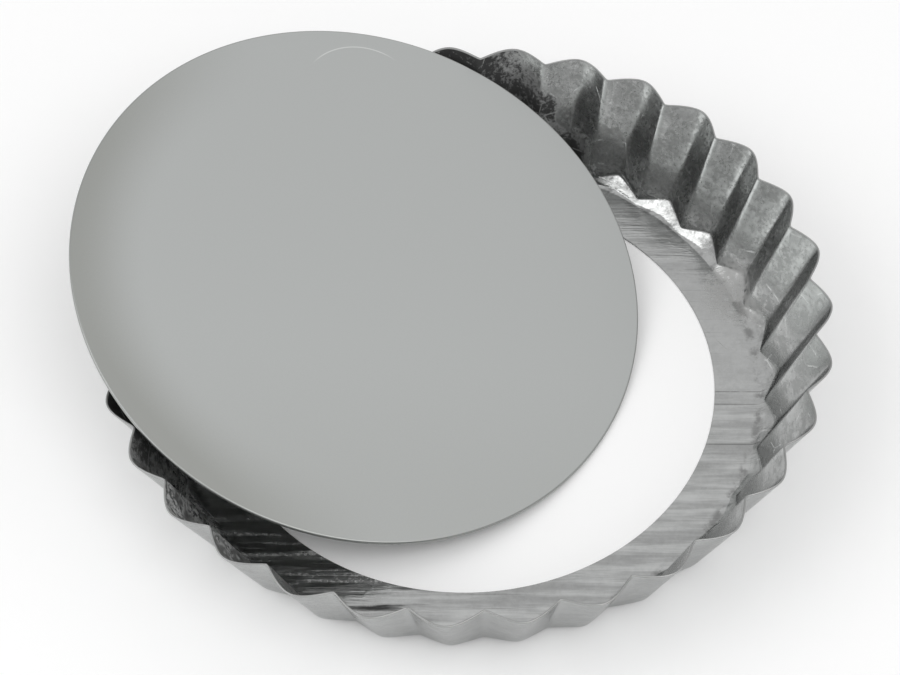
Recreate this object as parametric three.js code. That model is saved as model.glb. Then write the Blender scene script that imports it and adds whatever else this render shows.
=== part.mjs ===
// Loose-bottom tart pan: a fluted ring with a flat ledge, and its round base, which leans on the rim.
// Millimetres, +Z up, with the table at z = 0 and the origin at the middle of the footprint.
// The base slopes down towards +X. Its low edge stands on the table inside the ring's hole.
import * as THREE from "three";
import { LoftGeometry } from "three/addons/geometries/LoftGeometry.js";

// Ring
const rimDiameter = 120; // across the lobes, outside
const ringHeight = 19.6; // from the table to the rim
const ringSheet = 0.5; // thickness of the pressed sheet
const wallFlare = 8.2; // how far the rim stands out beyond the foot, on each side
const fluteCount = 31;
const rimFluteDepth = 2.8; // from lobe to ridge, at the rim
const footFluteDepth = 1.7; // from lobe to ridge, at the foot, where the flutes run out
const lobeRoundness = 0.45; // 0 is a pointed lobe
const ridgeSoftness = 0.1; // 0 is a sharp ridge
const ledgeWidth = 7.2; // of the flat ledge, from the edge of the hole to the bend
const ridgeBendRadius = 1.1; // inside the bend at the foot of a ridge; the lobes bend more gently

// Base
const baseThickness = 0.8;
const baseEdgeRadius = 0.3;
const baseClearance = 0.3; // between the seated base and the bend round it

// The leaning base
const lowEdgeInset = 16.3; // from the edge of the hole to the base's low edge
const sideOffset = 1.1; // of the base's middle from the ring's middle, across the slope
const leanClearance = 0.3; // between the base and the ring that it leans on
const steepestLean = Math.PI / 3;

// Facets
const columnsPerFlute = 8;
const bendSteps = 3;
const baseSegments = 128;
const edgeSteps = 1;

const rimRadius = rimDiameter / 2;
const footRadius = rimRadius - wallFlare;
const columnAngle = (2 * Math.PI) / (fluteCount * columnsPerFlute);

// How far the wall falls back from the tip of a lobe. It bends most there and on the ridges.
function fallFromTip(swing) {
  const soft = Math.hypot(swing, ridgeSoftness) / Math.hypot(1, ridgeSoftness);
  const share = Math.acos(Math.min(soft, 1)) / (Math.PI / 2);
  return Math.hypot(share, lobeRoundness) - lobeRoundness;
}

// 1 at the tip of a lobe and 0 on a ridge. A ridge lies on +X.
function fluteWave(angle) {
  const swing = Math.sin((fluteCount * angle) / 2);
  return 1 - fallFromTip(swing) / fallFromTip(0);
}

// The wall's outside, straight from the foot up to the rim. Its flutes grow deeper on the way up.
function outsideRadius(angle, height) {
  const pressedIn = 1 - fluteWave(angle);
  const foot = footRadius - footFluteDepth * pressedIn;
  const rim = rimRadius - rimFluteDepth * pressedIn;
  return foot + ((rim - foot) * height) / ringHeight;
}

function wallLean(angle) {
  const flare = outsideRadius(angle, ringHeight) - outsideRadius(angle, 0);
  return Math.atan2(flare, ringHeight);
}

// The wall's inside. Along the radius the sheet is thicker on the sides of a flute, which slope.
function insideRadius(angle, height) {
  const outside = outsideRadius(angle, height);
  const rise = outsideRadius(angle + columnAngle, height) - outsideRadius(angle - columnAngle, height);
  const slope = rise / (2 * columnAngle * outside);
  return outside - (ringSheet * Math.hypot(1, slope)) / Math.cos(wallLean(angle));
}

// The ledge is flat out to one circle, from which every bend starts.
const ridgeTurn = Math.PI / 2 - wallLean(0);
const flatRadius = outsideRadius(0, 0) - (ridgeBendRadius + ringSheet) * Math.tan(ridgeTurn / 2);
const holeRadius = flatRadius - ledgeWidth;
const baseRadius = flatRadius - baseClearance;

// An arc from the flat ledge up into the wall, in place of their sharp corner.
function bend(cornerRadius, cornerHeight, lean) {
  const turn = Math.PI / 2 - lean;
  const arcRadius = (cornerRadius - flatRadius) / Math.tan(turn / 2);
  return Array.from({ length: bendSteps + 1 }, (_, i) => {
    const swept = (turn * i) / bendSteps;
    const rise = arcRadius * (1 - Math.cos(swept));
    return new THREE.Vector2(flatRadius + arcRadius * Math.sin(swept), cornerHeight + rise);
  });
}

// The sheet's closed section at one angle: out along the underside and back along the inside.
function sheetSection(angle) {
  const lean = wallLean(angle);
  const section = [
    new THREE.Vector2(holeRadius, 0),
    ...bend(outsideRadius(angle, 0), 0, lean),
    new THREE.Vector2(outsideRadius(angle, ringHeight), ringHeight),
    new THREE.Vector2(insideRadius(angle, ringHeight), ringHeight),
    ...bend(insideRadius(angle, ringSheet), ringSheet, lean).reverse(),
    new THREE.Vector2(holeRadius, ringSheet),
  ];
  return section.map(({ x, y }) => new THREE.Vector3(x * Math.cos(angle), x * Math.sin(angle), y));
}

function flutedRing() {
  const columns = fluteCount * columnsPerFlute;
  const sections = Array.from({ length: columns + 1 }, (_, i) => sheetSection(-i * columnAngle));
  return new LoftGeometry(sections);
}

// A flat plate with a rounded edge, its underside at z = 0.
function loosePlate() {
  const edgeCentre = baseRadius - baseEdgeRadius;
  const upperCentre = baseThickness - baseEdgeRadius;
  const outline = new THREE.Path()
    .moveTo(0, 0)
    .lineTo(edgeCentre, 0)
    .absarc(edgeCentre, baseEdgeRadius, baseEdgeRadius, -Math.PI / 2, 0)
    .absarc(edgeCentre, upperCentre, baseEdgeRadius, 0, Math.PI / 2)
    .lineTo(0, baseThickness);
  const plate = new THREE.LatheGeometry(outline.getPoints(edgeSteps), baseSegments);
  return plate.rotateX(Math.PI / 2);
}

// Where the base lies at a lean: its low edge on the table, at its inset from the edge of the hole.
function basePlace(lean) {
  const lowEdge = holeRadius - lowEdgeInset;
  const lift = (baseRadius - baseEdgeRadius) * Math.sin(lean) + baseEdgeRadius * (1 - Math.cos(lean));
  const middle = new THREE.Vector3(lowEdge - baseRadius * Math.cos(lean), sideOffset, lift);
  return new THREE.Matrix4().makeRotationY(lean).setPosition(middle);
}

// How far from the ring's axis the ring leaves room, at one angle and height.
function freeRadius(angle, height) {
  if (height > ringHeight + leanClearance) return Infinity;
  if (height < ringSheet + leanClearance) return holeRadius - leanClearance;
  return insideRadius(angle, Math.min(height, ringHeight)) - leanClearance;
}

function clearsRing(lean) {
  const place = basePlace(lean);
  const edge = new THREE.EllipseCurve(0, 0, baseRadius, baseRadius).getPoints(6 * baseSegments);
  return [0, baseThickness].every((side) =>
    edge.every(({ x, y }) => {
      const point = new THREE.Vector3(x, y, side).applyMatrix4(place);
      const room = freeRadius(Math.atan2(point.y, point.x), point.z);
      return Math.hypot(point.x, point.y) <= room;
    }),
  );
}

// The base settles at the smallest lean that clears the ring, found by halving.
function settledLean() {
  const closeEnough = 1e-6;
  let tooFlat = 0;
  let clear = steepestLean;
  while (clear - tooFlat > closeEnough) {
    const middle = (tooFlat + clear) / 2;
    if (clearsRing(middle)) clear = middle;
    else tooFlat = middle;
  }
  return clear;
}

function piece(name, geometry, finish) {
  const mesh = new THREE.Mesh(geometry, new THREE.MeshStandardMaterial(finish));
  mesh.name = name;
  return mesh;
}

const wornTinplate = { color: 0x8c8e8d, roughness: 0.35, metalness: 1 };
const satinSteel = { color: 0xaeb1b0, roughness: 0.45, metalness: 1 };

const ring = piece("fluted_ring", flutedRing(), wornTinplate);
const base = piece("loose_base", loosePlate(), satinSteel);
base.applyMatrix4(basePlace(settledLean()));

// The footprint is centred on the origin, so the ring stands a little towards +X.
const onTable = new THREE.Group().add(ring, base);
const footprint = new THREE.Box3().setFromObject(onTable, true).getCenter(new THREE.Vector3());
onTable.position.set(-footprint.x, -footprint.y, 0);

const tartPan = new THREE.Group().add(onTable);
export default tartPan;
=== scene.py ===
import math
import random
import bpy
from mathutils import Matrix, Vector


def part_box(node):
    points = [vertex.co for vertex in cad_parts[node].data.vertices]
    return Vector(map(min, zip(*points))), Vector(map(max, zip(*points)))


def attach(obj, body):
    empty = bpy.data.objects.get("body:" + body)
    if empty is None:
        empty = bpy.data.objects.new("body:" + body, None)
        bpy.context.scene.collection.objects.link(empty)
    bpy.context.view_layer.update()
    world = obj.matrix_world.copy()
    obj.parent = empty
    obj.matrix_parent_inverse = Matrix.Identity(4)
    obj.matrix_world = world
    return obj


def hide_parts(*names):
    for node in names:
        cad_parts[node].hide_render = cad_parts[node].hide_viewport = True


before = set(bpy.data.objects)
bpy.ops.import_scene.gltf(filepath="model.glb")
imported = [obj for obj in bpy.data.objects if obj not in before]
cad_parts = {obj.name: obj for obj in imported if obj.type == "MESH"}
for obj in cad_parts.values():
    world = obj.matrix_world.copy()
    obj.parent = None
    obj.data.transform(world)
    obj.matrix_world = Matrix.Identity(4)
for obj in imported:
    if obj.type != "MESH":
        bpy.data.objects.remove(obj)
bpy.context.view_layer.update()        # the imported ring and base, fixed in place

from types import SimpleNamespace
import bmesh
import bpy
from mathutils import Matrix, Vector, noise

scene = bpy.context.scene
scene.view_settings.view_transform = "Standard"
ringLow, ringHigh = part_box("fluted_ring")
baseLow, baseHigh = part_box("loose_base")
mm = 1000.0              # millimetres in a metre

# the flutes are even, so the middle of the ring's points lies on its axis
ringPoints = [v.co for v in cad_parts["fluted_ring"].data.vertices]
ringMiddle = sum(ringPoints, Vector()) / len(ringPoints)
ringMiddle.z = 0
print("frame loaded, ring middle at", tuple(round(v, 5) for v in ringMiddle))


class Wire:
    # one socket of a material: arithmetic on it adds Math nodes
    def __init__(self, tree, socket=None):
        self.tree = tree
        self.socket = socket

    def node(self, kind, settings=None, sockets=None, out=0):
        made = self.tree.nodes.new(kind)
        for key, value in (settings or {}).items():
            setattr(made, key, value)
        for key, value in (sockets or {}).items():
            if isinstance(value, Wire):
                self.tree.links.new(value.socket, made.inputs[key])
            else:
                made.inputs[key].default_value = value
        return Wire(self.tree, made.outputs[out] if made.outputs else None)

    def maths(self, operation, first, second=0.0, clamp=False):
        settings = {"operation": operation, "use_clamp": clamp}
        return self.node("ShaderNodeMath", settings, {0: first, 1: second})

    def __add__(self, other):
        return self.maths("ADD", self, other)

    def __radd__(self, other):
        return self.maths("ADD", other, self)

    def __sub__(self, other):
        return self.maths("SUBTRACT", self, other)

    def __rsub__(self, other):
        return self.maths("SUBTRACT", other, self)

    def __mul__(self, other):
        return self.maths("MULTIPLY", self, other)

    def __rmul__(self, other):
        return self.maths("MULTIPLY", other, self)

    def __abs__(self):
        return self.maths("ABSOLUTE", self)

    def held(self):              # kept between 0 and 1
        return self.maths("ADD", self, 0.0, clamp=True)

    def centred(self):           # from 0 to 1, moved to lie on either side of 0
        return self - 0.5

    def fade(self, start, full):     # 0 before start and 1 past full, smoothly, whichever way that runs
        sockets = {"Value": self, "From Min": start, "From Max": full}
        if start > full:
            sockets = {"Value": self, "From Min": full, "From Max": start, "To Min": 1.0, "To Max": 0.0}
        return self.node("ShaderNodeMapRange", {"interpolation_type": "SMOOTHSTEP"}, sockets)


def newMaterial(name):
    material = bpy.data.materials.new(name)
    material.use_nodes = True
    tree = material.node_tree
    tree.nodes.clear()
    return material, Wire(tree)


def shade(wire, **sockets):      # the surface's shader, with its varying and its constant sockets
    shader = wire.node("ShaderNodeBsdfPrincipled", None, sockets)
    wire.node("ShaderNodeOutputMaterial", None, {"Surface": shader})


def millimetres(wire):           # the object's own coordinates, in millimetres
    place = wire.node("ShaderNodeTexCoord", None, None, "Object")
    return wire.node("ShaderNodeVectorMath", {"operation": "SCALE"}, {0: place, "Scale": mm})


def vectors(operation, first, second, out="Vector"):
    sockets = {0: first, 1: second}
    return first.node("ShaderNodeVectorMath", {"operation": operation}, sockets, out)


def distance(place, spot):       # in millimetres
    return vectors("DISTANCE", place, spot, "Value")


def atSpot(place, middle, start, full):      # a mask that changes with the distance from a spot
    return distance(place, middle).fade(start, full)


def axisOf(place, axis):
    return place.node("ShaderNodeSeparateXYZ", None, {0: place}, axis)


def mapped(place, **sockets):    # the same place, measured along a pattern's own axes
    return place.node("ShaderNodeMapping", {"vector_type": "TEXTURE"}, {"Vector": place, **sockets})


def grain(place, size, detail, roughness, seed):     # noise with patches of that size
    sockets = {"Vector": place, "Scale": 1.0 / size, "Detail": detail, "Roughness": roughness}
    return place.node("ShaderNodeTexNoise", {"noise_dimensions": "4D"}, {**sockets, "W": seed})


def blended(share, first, second):       # a colour: the first where share is 0, the second where it is 1
    colours = [c if isinstance(c, Wire) else (*c, 1) for c in (first, second)]
    sockets = {"Factor": share, 6: colours[0], 7: colours[1]}
    return share.node("ShaderNodeMix", {"data_type": "RGBA"}, sockets, 2)


def parted(mask, there, elsewhere):      # one value where the mask is 1, and another where it is 0
    return there * mask + elsewhere * (1 - mask)


def grown(amounts, mask):        # an amount that is always there, and one that the mask adds
    always, added = amounts
    return always + mask * added


# a noise gives its size in mm, detail, roughness and seed, and a fade gives where it starts and where it
# is full; a spot gives its middle in mm, then a fade by the distance from there
tinLook = {
    "darkTin": (0.22, 0.223, 0.22),
    "brightTin": (0.68, 0.69, 0.685),
    "soot": (0.02, 0.02, 0.02),
    "oxide": (0.50, 0.50, 0.495),
    "bendOxide": (0.36, 0.36, 0.355),
    "grime": (0.13, 0.13, 0.128),
    "cutEdge": (0.38, 0.384, 0.38),      # the rim is raw where the sheet was cut
    "edgeTint": (0.65, 0.65, 0.65),      # worn tin mirrors less at a glancing angle

    # stains in patches, with finer specks inside them, and where the sheet's parts meet
    "patchNoise": (2.6, 4.0, 0.65, 1.0),
    "speckNoise": (0.6, 3.0, 0.65, 5.0),
    "patchStain": 0.6,
    "speckStain": 0.4,
    "stainFade": (0.38, 0.62),
    "ledgeFade": (1.2, 0.6),             # mm up, from the wall's finish to the ledge's
    "ledgeWander": 0.8,                  # mm, how far that border wanders
    "cutFade": (0.2, 0.1),               # mm down from the rim
    "outsideFade": (-5.0, 5.0),          # mm, from facing the axis to facing away
    "evenSpot": ((58.0, 0.0, 10.0), 20.0, 60.0),     # the wall is most used far from here

    # rolling marks, whose noise is stretched along the sheet
    "rollAngle": math.radians(27.9),     # the marks run this far round from X
    "broadMark": (30.0, 2.0),            # mm, length and width
    "thinMark": (16.0, 0.15),
    "markHeight": 20.0,                  # mm, so tall that the marks hardly change with height
    "rolledNoise": (1.0, 4.0, 0.65, 3.0),
    "rolledFade": (0.38, 0.64),
    "dullNoise": (1.0, 3.0, 0.6, 12.0),
    "dullFade": (0.48, 0.62),
    # painted dark reflection: near-black streaks where the ledge reflects the base's shaded underside
    "darkReflectionNoise": (1.0, 5.0, 0.65, 21.0),
    "darkReflectionFade": (0.5, 0.6),
    "darkLineNoise": (1.0, 1.0, 0.5, 8.0),
    "darkLineFade": (0.66, 0.72),
    "roughLineNoise": (1.6, 2.0, 0.6, 11.0),
    "roughLineFade": (0.52, 0.7),
    "smoothSpot": ((36.0, 31.0, 0.0), 8.0, 24.0),    # the ledge is most marked far from here
    "deepMarks": (-3.6, -6.2, -14.4),    # mm across the rolling, where single marks are deeper
    "deepFade": (0.16, 0.04),            # mm from the middle of one
    "deepStart": (40.0, 44.0),           # mm along the rolling
    "deepBreaks": (0.3, 0.5),

    # broken hairline scratches, and soot with painted shade: how black it is, and then its spot
    "scratchSize": 8.0,
    "scratchFade": (0.02, 0.004),
    "scratchBreaks": (0.5, 0.62),
    "sootAndShadeSpots": (
        (0.5, (-27.0, 52.0, 15.0), 20.0, 0.0),
        (0.5, (-37.0, -42.5, 14.0), 20.0, 0.0),
        # soot together with painted shade on the shaded side of a lobe
        (0.34, (-11.5, 54.0, 11.0), 9.0, 0.0),
        # painted shade at a flute's foot, by the base's edge
        (0.46, (-4.5, 51.5, 3.0), 8.0, 0.0),
    ),
    "sootStart": 0.3,
    "sootPatches": 0.8,
    "sootSpecks": 0.6,
    "sootFade": (0.43, 0.66),
    "sootScratch": 0.4,                  # how much of the soot a scratch takes off
    # where the painted dark reflection lies on the ledge
    "darkReflectionSpot": ((9.0, -44.0, 0.0), 15.0, 4.0),

    # dull oxide in streaks on the ledge, in patches on the wall and on a few bends, and grime in the corner
    "saltFade": (0.47, 0.6),
    "oxideStreaks": 0.3,
    "oxideLines": 0.4,
    "oxideSalt": 0.6,
    "oxideAmount": (0.08, 0.8),          # everywhere, and added at its spots
    "ledgeOxideSpot": ((2.0, -47.0, 0.0), 28.0, 8.0),
    "wallOxideSpot": ((-15.0, -52.0, 9.0), 28.0, 8.0),
    "wallOxideFade": (0.42, 0.56),
    "bendOxideSpot": ((36.0, 39.0, 2.0), 9.0, 4.0),
    "bendOxideFade": (0.36, 0.54),
    "bendOxideTop": (4.0, 2.5),          # mm up
    "bendOxideAmount": 0.8,
    "grimeOffset": 0.3,                  # mm out from where the bends start
    "grimeWidth": (1.3, 0.2),            # mm on either side of there
    "grimeFade": (0.46, 0.62),
    "grimeTop": (3.0, 2.0),              # mm up
    "grimeAmount": 0.6,
    # how black the soot, the painted shade and the painted dark reflection are
    "sootAndShadeAmount": 0.97,

    # tone, from dark tin at 0 to bright tin at 1; a pair is what is always there and what its mask adds
    "ledgeTone": 0.62,
    "rolledTone": (0.04, 0.38),
    "darkLineTone": 0.4,
    "ledgeStain": 0.12,
    "deepTone": 0.5,
    "wallTone": 0.48,
    "aboveBends": (2.0, 5.0),            # mm up
    "aboveTone": (0.04, 0.07),
    "wallStain": (0.2, 0.26),
    "wallSpecks": 0.7,
    "wornTone": 0.3,
    "scratchTone": (0.4, 0.5),
    "outsideTone": 0.34,

    # roughness, from the gloss where the tin is least worn, and how matt the dirt is
    "gloss": 0.12,
    "lineRough": (0.03, 0.15),
    "wallRough": 0.03,
    "cleanRough": 0.18,                  # between the stains
    "outsideGloss": 0.1,
    "sootAndShadeRough": 0.45,
    "cutRough": 0.2,
    "oxideRough": 0.3,
    "oxideMatt": 0.85,
    "sootAndShadeMatt": 0.9,
    "rolledBump": 0.4,
    "speckBump": 0.25,
    "patchBump": 0.4,
    "scratchBump": 0.3,
    "bumpStrength": 0.3,
    "bumpDepth": 0.0002,
}


def stretched(place, length, width):     # for marks that run along the rolling
    scale = (length, width, tinLook["markHeight"])
    return mapped(place, Rotation=(0, 0, tinLook["rollAngle"]), Scale=scale)


def tinMasks(wire):              # stains, and which parts are ledge, cut edge, outside and most used
    p = tinLook
    tin = SimpleNamespace()
    tin.place = millimetres(wire)
    tin.height = axisOf(tin.place, "Z")
    tin.patches = grain(tin.place, *p["patchNoise"])
    tin.specks = grain(tin.place, *p["speckNoise"])
    tin.stained = (tin.patches * p["patchStain"] + tin.specks * p["speckStain"]).fade(*p["stainFade"])
    tin.onLedge = (tin.height + tin.patches.centred() * p["ledgeWander"]).fade(*p["ledgeFade"])
    tin.onCut = tin.height.fade(*(ringHigh.z * mm - down for down in p["cutFade"]))
    fromAxis = vectors("SUBTRACT", tin.place, ringMiddle * mm)
    facing = wire.node("ShaderNodeNewGeometry", None, None, "Normal")
    tin.outside = vectors("DOT_PRODUCT", fromAxis, facing, "Value").fade(*p["outsideFade"])
    tin.used = atSpot(tin.place, *p["evenSpot"]) * (1 - tin.outside)
    # the ridges: worn bright, with a painted highlight line
    tin.worn = wire.node("ShaderNodeAttribute", {"attribute_name": "ridgeWearAndHighlight"}, None, "Fac")
    return tin


def rollingMasks(tin):           # broad streaks, thin dark lines, thin rough ones and single deep marks
    p = tinLook
    broad = stretched(tin.place, *p["broadMark"])
    thin = stretched(tin.place, *p["thinMark"])
    tin.rolled = grain(broad, *p["rolledNoise"]).fade(*p["rolledFade"])
    tin.dullStreaks = grain(broad, *p["dullNoise"]).fade(*p["dullFade"])
    # streaks for the painted dark reflection on the ledge
    tin.burntStreaks = grain(broad, *p["darkReflectionNoise"]).fade(*p["darkReflectionFade"])
    tin.darkLines = grain(thin, *p["darkLineNoise"]).fade(*p["darkLineFade"])
    tin.roughLines = grain(thin, *p["roughLineNoise"]).fade(*p["roughLineFade"])
    tin.marked = atSpot(tin.place, *p["smoothSpot"])
    rolling = stretched(tin.place, 1.0, 1.0)         # mm along the rolling and across it
    deep = sum(abs(axisOf(rolling, "Y") - mark).fade(*p["deepFade"]) for mark in p["deepMarks"])
    tin.deep = deep * axisOf(rolling, "X").fade(*p["deepStart"]) * tin.patches.fade(*p["deepBreaks"])


def dirtMasks(tin):              # scratches, soot with painted shade, painted dark reflection, oxide and grime
    p = tinLook
    inside = 1 - tin.outside
    sockets = {"Vector": tin.place, "Scale": 1.0 / p["scratchSize"]}
    cells = tin.place.node("ShaderNodeTexVoronoi", {"feature": "DISTANCE_TO_EDGE"}, sockets, "Distance")
    tin.scratches = cells.fade(*p["scratchFade"]) * tin.patches.fade(*p["scratchBreaks"])

    sooty = p["sootStart"] + sum(atSpot(tin.place, *spot) * black for black, *spot in p["sootAndShadeSpots"])
    sooty = sooty + tin.patches.centred() * p["sootPatches"] + tin.specks.centred() * p["sootSpecks"]
    sooty = sooty.fade(*p["sootFade"]) * inside * (1 - tin.scratches * p["sootScratch"])
    burnt = atSpot(tin.place, *p["darkReflectionSpot"]) * tin.burntStreaks
    # the ledge gets the painted dark reflection, and the wall gets soot with painted shade
    tin.sooty = parted(tin.onLedge, burnt, sooty)

    streaks = p["oxideStreaks"] + tin.roughLines * p["oxideLines"]
    streaks = tin.dullStreaks * (streaks + tin.specks.fade(*p["saltFade"]) * p["oxideSalt"])
    ledgeOxide = streaks * grown(p["oxideAmount"], atSpot(tin.place, *p["ledgeOxideSpot"]))
    wallPatches = tin.stained * tin.specks.fade(*p["wallOxideFade"]) * inside
    wallOxide = wallPatches * grown(p["oxideAmount"], atSpot(tin.place, *p["wallOxideSpot"]))
    tin.oxide = parted(tin.onLedge, ledgeOxide, wallOxide)
    bendOxide = atSpot(tin.place, *p["bendOxideSpot"]) * tin.specks.fade(*p["bendOxideFade"])
    tin.bendOxide = bendOxide * tin.height.fade(*p["bendOxideTop"]) * p["bendOxideAmount"]

    flat = vectors("MULTIPLY", tin.place, (1, 1, 0))
    fromCorner = abs(distance(flat, ringMiddle * mm) - (flatCircle() * mm + p["grimeOffset"]))
    grimy = fromCorner.fade(*p["grimeWidth"]) * tin.patches.fade(*p["grimeFade"])
    tin.grimy = grimy * tin.height.fade(*p["grimeTop"])


def tinTone(tin):
    p = tinLook
    ledge = p["ledgeTone"] + tin.rolled.centred() * grown(p["rolledTone"], tin.marked)
    ledge = ledge + tin.stained.centred() * p["ledgeStain"]
    ledge = ledge - tin.darkLines * p["darkLineTone"] - tin.deep * p["deepTone"]
    wall = p["wallTone"] + tin.height.fade(*p["aboveBends"]) * grown(p["aboveTone"], tin.used)
    wall = wall + tin.stained.centred() * grown(p["wallStain"], tin.used)
    wall = wall + tin.specks.centred() * tin.used * p["wallSpecks"]
    # worn ridges with their painted highlight, and scratches
    wall = wall + tin.worn * p["wornTone"] + tin.scratches * grown(p["scratchTone"], tin.used)
    wall = wall + tin.outside * p["outsideTone"]
    return parted(tin.onLedge, ledge, wall).held()


def wornTinplate():
    p = tinLook
    material, wire = newMaterial("wornTinplate")
    tin = tinMasks(wire)
    rollingMasks(tin)
    dirtMasks(tin)

    colour = blended(tinTone(tin), p["darkTin"], p["brightTin"])
    colour = blended(tin.oxide, colour, p["oxide"])
    colour = blended(tin.bendOxide, colour, p["bendOxide"])
    colour = blended(tin.grimy * p["grimeAmount"], colour, p["grime"])
    # near black: soot, painted shade and painted dark reflection
    colour = blended(tin.sooty * p["sootAndShadeAmount"], colour, p["soot"])
    colour = blended(tin.onCut, colour, p["cutEdge"])

    dulled = (tin.oxide + tin.bendOxide).held()
    ledgeRough = tin.roughLines * grown(p["lineRough"], tin.marked)
    wallRough = p["wallRough"] + (1 - tin.stained) * (p["cleanRough"] - tin.outside * p["outsideGloss"])
    wallRough = wallRough + tin.sooty * p["sootAndShadeRough"]
    roughness = p["gloss"] + parted(tin.onLedge, ledgeRough, wallRough)
    roughness = roughness + tin.onCut * p["cutRough"] + dulled * p["oxideRough"]
    relief = tin.rolled * tin.onLedge * p["rolledBump"] + tin.specks * p["speckBump"]
    relief = relief + tin.patches * p["patchBump"] + tin.scratches * p["scratchBump"]
    bump = wire.node("ShaderNodeBump", None, {
        "Height": relief, "Strength": p["bumpStrength"], "Distance": p["bumpDepth"]})
    metal = (1 - dulled * p["oxideMatt"]) * (1 - tin.sooty * p["sootAndShadeMatt"])
    shade(wire, **{"Base Color": colour, "Metallic": metal, "Roughness": roughness, "Normal": bump,
                   "Specular Tint": (*p["edgeTint"], 1)})
    return material


steelLook = {
    "steel": (0.545, 0.56, 0.553),
    # darker steel, for the grain and for the painted shade
    "grainAndShadeSteel": (0.405, 0.413, 0.395),
    "scratchedSteel": (0.80, 0.81, 0.80),
    "edgeSteel": (0.37, 0.38, 0.37),
    "edgeFade": (0.35, 0.175),           # mm in from the rim
    "grain": (0.22, 2.0, 0.6, 4.0),      # size in mm, detail, roughness and seed
    "grainTone": 0.2,
    "roughness": (0.36, 0.08),           # everywhere, and added by the grain
    "bumpStrength": 0.06,
    "bumpDepth": 0.0001,
    "shadedSide": math.radians(225),       # painted shade: the rim is darker on this side, round from the low edge
    "shadedWidth": 13.0,                   # mm
    "dullFade": (0.1, 0.9),              # share of the way to that side
    "nearSide": math.radians(-59),       # and painted shade makes the plate a touch darker towards this one
    "nearFade": (0.2, 1.0),
    "nearShade": 0.3,
    "arcMiddle": (-17.9, 29.9, 0.0),     # mm on the plate, of one long curved scratch
    "arcRadius": 10.8,
    "arcWidth": 0.16,
    "arcHigh": (1.0, -3.0),              # mm from its middle, up the slope, where one end fades
    "arcSide": (0.0, 4.0),               # and across the slope, where the other does
    "arcTone": 0.7,
    "upperSide": (0.0, 0.2),             # mm up through the plate
}


def satinSteel(middle, lean, radius):
    p = steelLook
    material, wire = newMaterial("satinSteel")
    place = millimetres(wire)
    onPlate = mapped(place, Location=middle * mm, Rotation=(0, lean, 0))
    along, across, above = (axisOf(onPlate, axis) for axis in "XYZ")
    fromMiddle = distance(onPlate, (0, 0, 0))
    rim = radius * mm

    def towards(side):           # 1 at the rim on that side, and 0 across the middle
        return along * (math.cos(side) / rim) + across * (math.sin(side) / rim)

    # painted shade: a dark band at the rim on one side, and a slight darkening towards another
    paintedShade = fromMiddle.fade(rim - p["shadedWidth"], rim) * towards(p["shadedSide"]).fade(*p["dullFade"])
    paintedShade = paintedShade + towards(p["nearSide"]).fade(*p["nearFade"]) * p["nearShade"]
    fine = grain(place, *p["grain"])
    edge = fromMiddle.fade(*(rim - inwards for inwards in p["edgeFade"]))

    # the scratch is a quarter of a circle, on the upper side only
    arcX, arcY, _ = p["arcMiddle"]
    fromArc = abs(distance(onPlate, p["arcMiddle"]) - p["arcRadius"])
    arc = fromArc.fade(p["arcWidth"], p["arcWidth"] / 3) * above.fade(*p["upperSide"])
    arc = arc * along.fade(*(arcX + end for end in p["arcHigh"]))
    arc = arc * across.fade(*(arcY + end for end in p["arcSide"]))

    # the grain, and the painted shade, towards the darker steel
    colour = blended((paintedShade + fine.centred() * p["grainTone"]).held(), p["steel"], p["grainAndShadeSteel"])
    colour = blended(arc * p["arcTone"], colour, p["scratchedSteel"])
    colour = blended(edge, colour, p["edgeSteel"])
    roughness = grown(p["roughness"], fine)
    bump = wire.node("ShaderNodeBump", None, {
        "Height": fine, "Strength": p["bumpStrength"], "Distance": p["bumpDepth"]})
    shade(wire, **{"Base Color": colour, "Metallic": 1.0, "Roughness": roughness, "Normal": bump})
    return material


def finishPiece(name, bm, material, body, node):
    mesh = bpy.data.meshes.new(name)
    bm.to_mesh(mesh)
    bm.free()
    mesh.shade_smooth()
    mesh.materials.append(material)
    piece = bpy.data.objects.new(name, mesh)
    scene.collection.objects.link(piece)
    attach(piece, body)
    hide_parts(node)
    return piece


ringPress = {
    "fluteCount": 31,
    "columnsPerFlute": 28,
    "sheet": 0.00028,
    "wallFlare": 0.0082,         # how far the rim stands out beyond the foot
    "rimFluteDepth": 0.0028,
    "footFluteDepth": 0.0017,
    "rimRoundness": 0.45,        # 0 is a pointed lobe
    "wallRoundness": 0.12,
    "swell": 3,                  # the lobes round out only near the rim
    "ridgeSoftness": 0.05,       # 0 is a sharp ridge
    "ledgeWidth": 0.0072,
    "ridgeBend": 0.0016,         # outside the bend at the foot of a ridge
    "facetRound": 0.25,          # share of the facet at a lobe's foot that its bends take up
    "bendSteps": 4,
    "wallRows": 10,
    "edgeRound": 0.0001,
    "edgeSteps": 2,
    "edgeAngle": math.radians(60),       # only sharper edges are rounded
    "unevenness": 0.0001,        # hand wear: how far a flute strays
    "wobbles": 220,              # dents in a metre
    "seed": 7,
    "wearNarrowness": 8,         # the ridges are worn bright and carry a painted highlight line, more narrowly the higher this is
    "wearRise": 8,               # in full from one part in this many of the height
    "mergeDistance": 1e-6,
}


def fallFromTip(swing, tipRound):        # how far the wall falls back from the tip of a lobe
    soft = ringPress["ridgeSoftness"]
    share = math.acos(min(1, math.hypot(swing, soft) / math.hypot(1, soft))) / (math.pi / 2)
    return math.hypot(share, tipRound) - tipRound


def fluteWave(angle, tipRound):          # 1 at the tip of a lobe and 0 on a ridge
    swing = math.sin(ringPress["fluteCount"] * angle / 2)
    return 1 - fallFromTip(swing, tipRound) / fallFromTip(0, tipRound)


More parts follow.
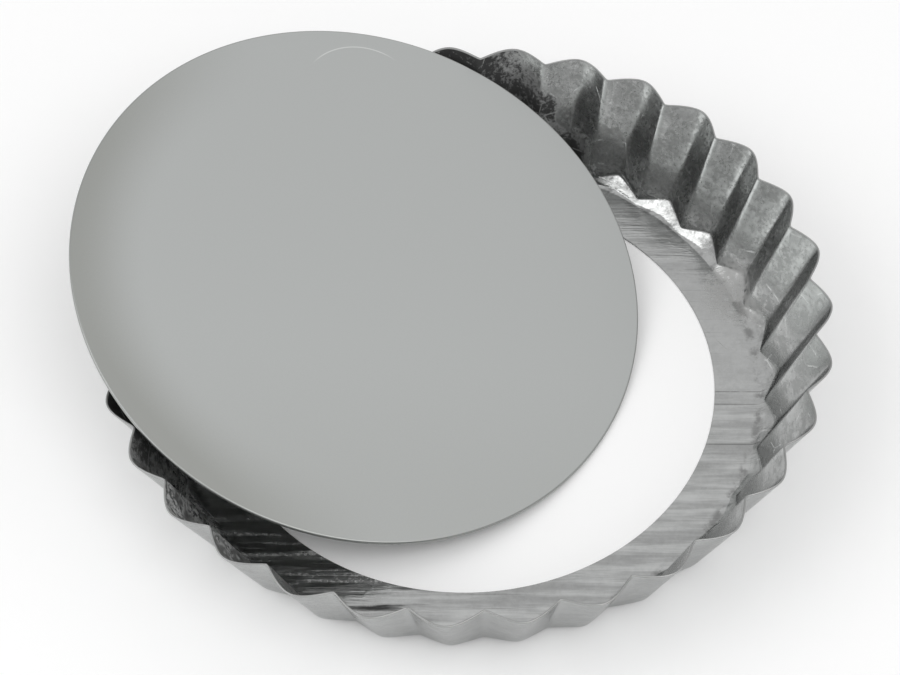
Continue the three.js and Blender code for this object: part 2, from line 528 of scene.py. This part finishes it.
def wallRadii(angle):            # the wall's outside at the table and at the rim, and the rim's rounding
    p = ringPress
    rimRadius = ringMiddle.x - ringLow.x                 # a lobe lies on -X
    wave = fluteWave(angle, p["wallRoundness"])
    foot = rimRadius - p["wallFlare"] - p["footFluteDepth"] * (1 - wave)
    rim = rimRadius - p["rimFluteDepth"] * (1 - wave)
    rounding = p["rimFluteDepth"] * (fluteWave(angle, p["rimRoundness"]) - wave)
    return foot, rim, rounding


def wallTurn(foot, rim):         # the angle from the ledge up into the wall
    return math.pi / 2 - math.atan2(rim - foot, ringHigh.z)


def flatCircle():                # the ledge is flat out to this radius, where every bend starts
    foot, rim, _ = wallRadii(0)
    return foot - ringPress["ridgeBend"] * math.tan(wallTurn(foot, rim) / 2)


def sheetOutside(angle):         # radii and heights at one angle: ledge, the facet at its edge, and wall
    p = ringPress
    flatRadius = flatCircle()
    foot, rim, rounding = wallRadii(angle)
    turn = wallTurn(foot, rim)
    up = Vector((math.cos(turn), math.sin(turn)))        # along the wall
    reach = foot - flatRadius
    tangent = reach * p["facetRound"]
    bendRadius = tangent / math.tan(turn / 4)
    outline = [Vector((flatRadius - p["ledgeWidth"], 0))]
    lowBend = Vector((flatRadius, bendRadius))           # middles of the two bends
    highBend = Vector((foot, 0)) + up * reach + Vector((-up.y, up.x)) * bendRadius
    for centre, first in ((lowBend, 0), (highBend, turn / 2)):
        for i in range(p["bendSteps"] + 1):
            swept = first + turn / 2 * i / p["bendSteps"]
            outline.append(centre + Vector((math.sin(swept), -math.cos(swept))) * bendRadius)
    wallTop = Vector((rim, ringHigh.z))
    bendTop = outline[-1]
    for i in range(1, p["wallRows"] + 1):
        risen = i / p["wallRows"]
        outline.append(bendTop.lerp(wallTop, risen) + Vector((rounding * risen ** p["swell"], 0)))
    return outline


def flutedRing():
    p = ringPress
    bm = bmesh.new()
    row = bm.verts.layers.int.new("row")
    worn = bm.verts.layers.float.new("ridgeWearAndHighlight")
    corners = [bm.verts.new((radius, 0, height)) for radius, height in sheetOutside(0)]
    for i, corner in enumerate(corners):
        corner[row] = i
    edges = [bm.edges.new(pair) for pair in zip(corners, corners[1:])]
    bmesh.ops.spin(bm, geom=corners + edges, cent=(0, 0, 0), axis=(0, 0, 1), angle=2 * math.pi,
                   steps=p["fluteCount"] * p["columnsPerFlute"], use_merge=True)
    print("ring spun,", len(bm.verts), "points")

    # press the flutes in, with a little hand wear that grows towards the rim
    draw = random.Random(p["seed"])
    strays = [draw.uniform(0, 1) for _ in range(p["fluteCount"])]
    for v in bm.verts:
        angle = math.atan2(v.co.y, v.co.x)
        radius, height = sheetOutside(angle)[v[row]]
        wave = fluteWave(angle, p["rimRoundness"])
        up = height / ringHigh.z
        flute = int((angle / (2 * math.pi) % 1) * p["fluteCount"]) % p["fluteCount"]
        wobble = abs(noise.noise(v.co * p["wobbles"]))
        radius -= p["unevenness"] * up * (strays[flute] * wave + wobble)
        v.co = Vector((radius * math.cos(angle), radius * math.sin(angle), height))
        # ridges lighter from wear and from a painted highlight
        v[worn] = (1 - wave) ** p["wearNarrowness"] * min(1, up * p["wearRise"])
    bmesh.ops.translate(bm, verts=bm.verts, vec=ringMiddle)
    bmesh.ops.remove_doubles(bm, verts=bm.verts, dist=p["mergeDistance"])
    bmesh.ops.recalc_face_normals(bm, faces=bm.faces)
    ledge = max(bm.faces, key=bmesh.types.BMFace.calc_area)
    if ledge.normal.z > 0:
        bmesh.ops.reverse_faces(bm, faces=bm.faces)      # the skin faces down and out

    piece = finishPiece("pressedRing", bm, wornTinplate(), "ring", "fluted_ring")
    thick = piece.modifiers.new("sheet", "SOLIDIFY")
    thick.thickness = p["sheet"]
    thick.offset = -1
    thick.use_even_offset = True
    thick.use_quality_normals = True
    rounded = piece.modifiers.new("edges", "BEVEL")
    rounded.width = p["edgeRound"]
    rounded.segments = p["edgeSteps"]
    rounded.limit_method = "ANGLE"
    rounded.angle_limit = p["edgeAngle"]
    piece.modifiers.new("flatFaces", "WEIGHTED_NORMAL")
    print("ring pressed:", p["fluteCount"], "flutes")


basePlate = {
    "segments": 256,
    "thickness": 0.0008,
    "edgeRound": 0.0003,
    "edgeSteps": 4,
    "edgeAngle": math.radians(57),       # only sharper edges are rounded
}


def flatBase():
    p = basePlate
    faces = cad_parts["loose_base"].data.polygons
    broadest = max(faces, key=lambda face: face.area).normal
    axis = broadest if broadest.z > 0 else -broadest
    lean = math.atan2(axis.x, axis.z)
    bm = bmesh.new()
    radius = (baseHigh.y - baseLow.y) / 2
    bmesh.ops.create_circle(bm, cap_ends=True, segments=p["segments"], radius=radius)
    lifted = bmesh.ops.extrude_face_region(bm, geom=list(bm.faces))
    upper = [part for part in lifted["geom"] if isinstance(part, bmesh.types.BMVert)]
    bmesh.ops.translate(bm, verts=upper, vec=(0, 0, p["thickness"]))
    bmesh.ops.translate(bm, verts=bm.verts, vec=(0, 0, -p["thickness"] / 2))
    bmesh.ops.recalc_face_normals(bm, faces=bm.faces)
    rims = [edge for edge in bm.edges if edge.calc_face_angle(0) > p["edgeAngle"]]
    bmesh.ops.bevel(bm, geom=rims, offset=p["edgeRound"], affect="EDGES", segments=p["edgeSteps"],
                    profile=0.5, material=-1)
    middle = (baseLow + baseHigh) / 2
    place = Matrix.Translation(middle) @ Matrix.Rotation(lean, 4, "Y")
    bmesh.ops.transform(bm, verts=bm.verts, matrix=place)
    steel = satinSteel(middle, lean, radius)
    piece = finishPiece("flatBase", bm, steel, "base", "loose_base")
    piece.modifiers.new("flatFaces", "WEIGHTED_NORMAL")
    print("base laid at", round(math.degrees(lean), 2), "degrees")


studio = {
    "floorGrey": (0.97, 0.97, 0.97),
    "floorSize": 6,
    "floorRoughness": 0.9,
    "floorGloss": 0.1,
    "worldGrey": (0.735, 0.735, 0.735),
    "azimuth": math.radians(31.039),     # of the photograph's view
    "elevation": math.radians(52.318),
    "roll": math.radians(-2.388),
    "distance": 0.42139,
    "lens": 99.587,
    "sensor": 36.0,
    "clipEnd": 20,
    "aimRight": -0.00288,                # what the view's middle looks at, from the middle of the hole
    "aimUp": 0.00728,
    "aimHeight": 0.0006,
    "lamps": {                           # degrees round from the view and up, metres away and across, watts
        "keyLight": (35, 58, 1.6, 1.1, 6.0),
        "leftLight": (-72, 44, 1.2, 0.9, 2.9),
    },
}


def outwards(azimuth, elevation):        # a direction from the ring's middle
    flat = Vector((math.sin(azimuth), -math.cos(azimuth), 0))
    return flat * math.cos(elevation) + Vector((0, 0, math.sin(elevation)))


def photoCamera():
    p = studio
    right = Vector((math.cos(p["azimuth"]), math.sin(p["azimuth"]), 0))
    back = outwards(p["azimuth"], p["elevation"])
    up = back.cross(right)
    turnedRight = right * math.cos(p["roll"]) + up * math.sin(p["roll"])
    turnedUp = up * math.cos(p["roll"]) - right * math.sin(p["roll"])
    aim = ringMiddle + Vector((0, 0, p["aimHeight"]))
    aim = aim + turnedRight * p["aimRight"] + turnedUp * p["aimUp"]
    data = bpy.data.cameras.new("photoView")
    data.lens = p["lens"]
    data.sensor_width = p["sensor"]
    data.sensor_fit = "HORIZONTAL"
    data.clip_end = p["clipEnd"]
    camera = bpy.data.objects.new("photoView", data)
    axes = Matrix((turnedRight, turnedUp, back)).transposed().to_4x4()
    camera.matrix_world = Matrix.Translation(aim + back * p["distance"]) @ axes
    scene.collection.objects.link(camera)
    scene.camera = camera


def softbox(name, turn, rise, away, size, watts):
    out = outwards(studio["azimuth"] + math.radians(turn), math.radians(rise))
    data = bpy.data.lights.new(name, "AREA")
    data.shape = "DISK"
    data.size = size
    data.energy = watts
    lamp = bpy.data.objects.new(name, data)
    facing = out.to_track_quat("Z", "Y").to_matrix().to_4x4()
    lamp.matrix_world = Matrix.Translation(ringMiddle + out * away) @ facing
    scene.collection.objects.link(lamp)


def paleFloor():
    p = studio
    bm = bmesh.new()
    bmesh.ops.create_grid(bm, x_segments=1, y_segments=1, size=p["floorSize"])
    mesh = bpy.data.meshes.new("paleFloor")
    bm.to_mesh(mesh)
    bm.free()
    material, wire = newMaterial("paleFloor")
    shade(wire, **{"Base Color": (*p["floorGrey"], 1), "Roughness": p["floorRoughness"],
                   "Specular IOR Level": p["floorGloss"]})
    mesh.materials.append(material)
    floor = bpy.data.objects.new("paleFloor", mesh)
    scene.collection.objects.link(floor)


def studioLight():
    world = bpy.data.worlds.new("studio")
    world.use_nodes = True
    scene.world = world
    background = world.node_tree.nodes["Background"]
    background.inputs["Color"].default_value = (*studio["worldGrey"], 1)
    for name, lamp in studio["lamps"].items():
        softbox(name, *lamp)
    print("studio lit")


photoCamera()
paleFloor()
studioLight()
flutedRing()
flatBase()

print("scene finished")
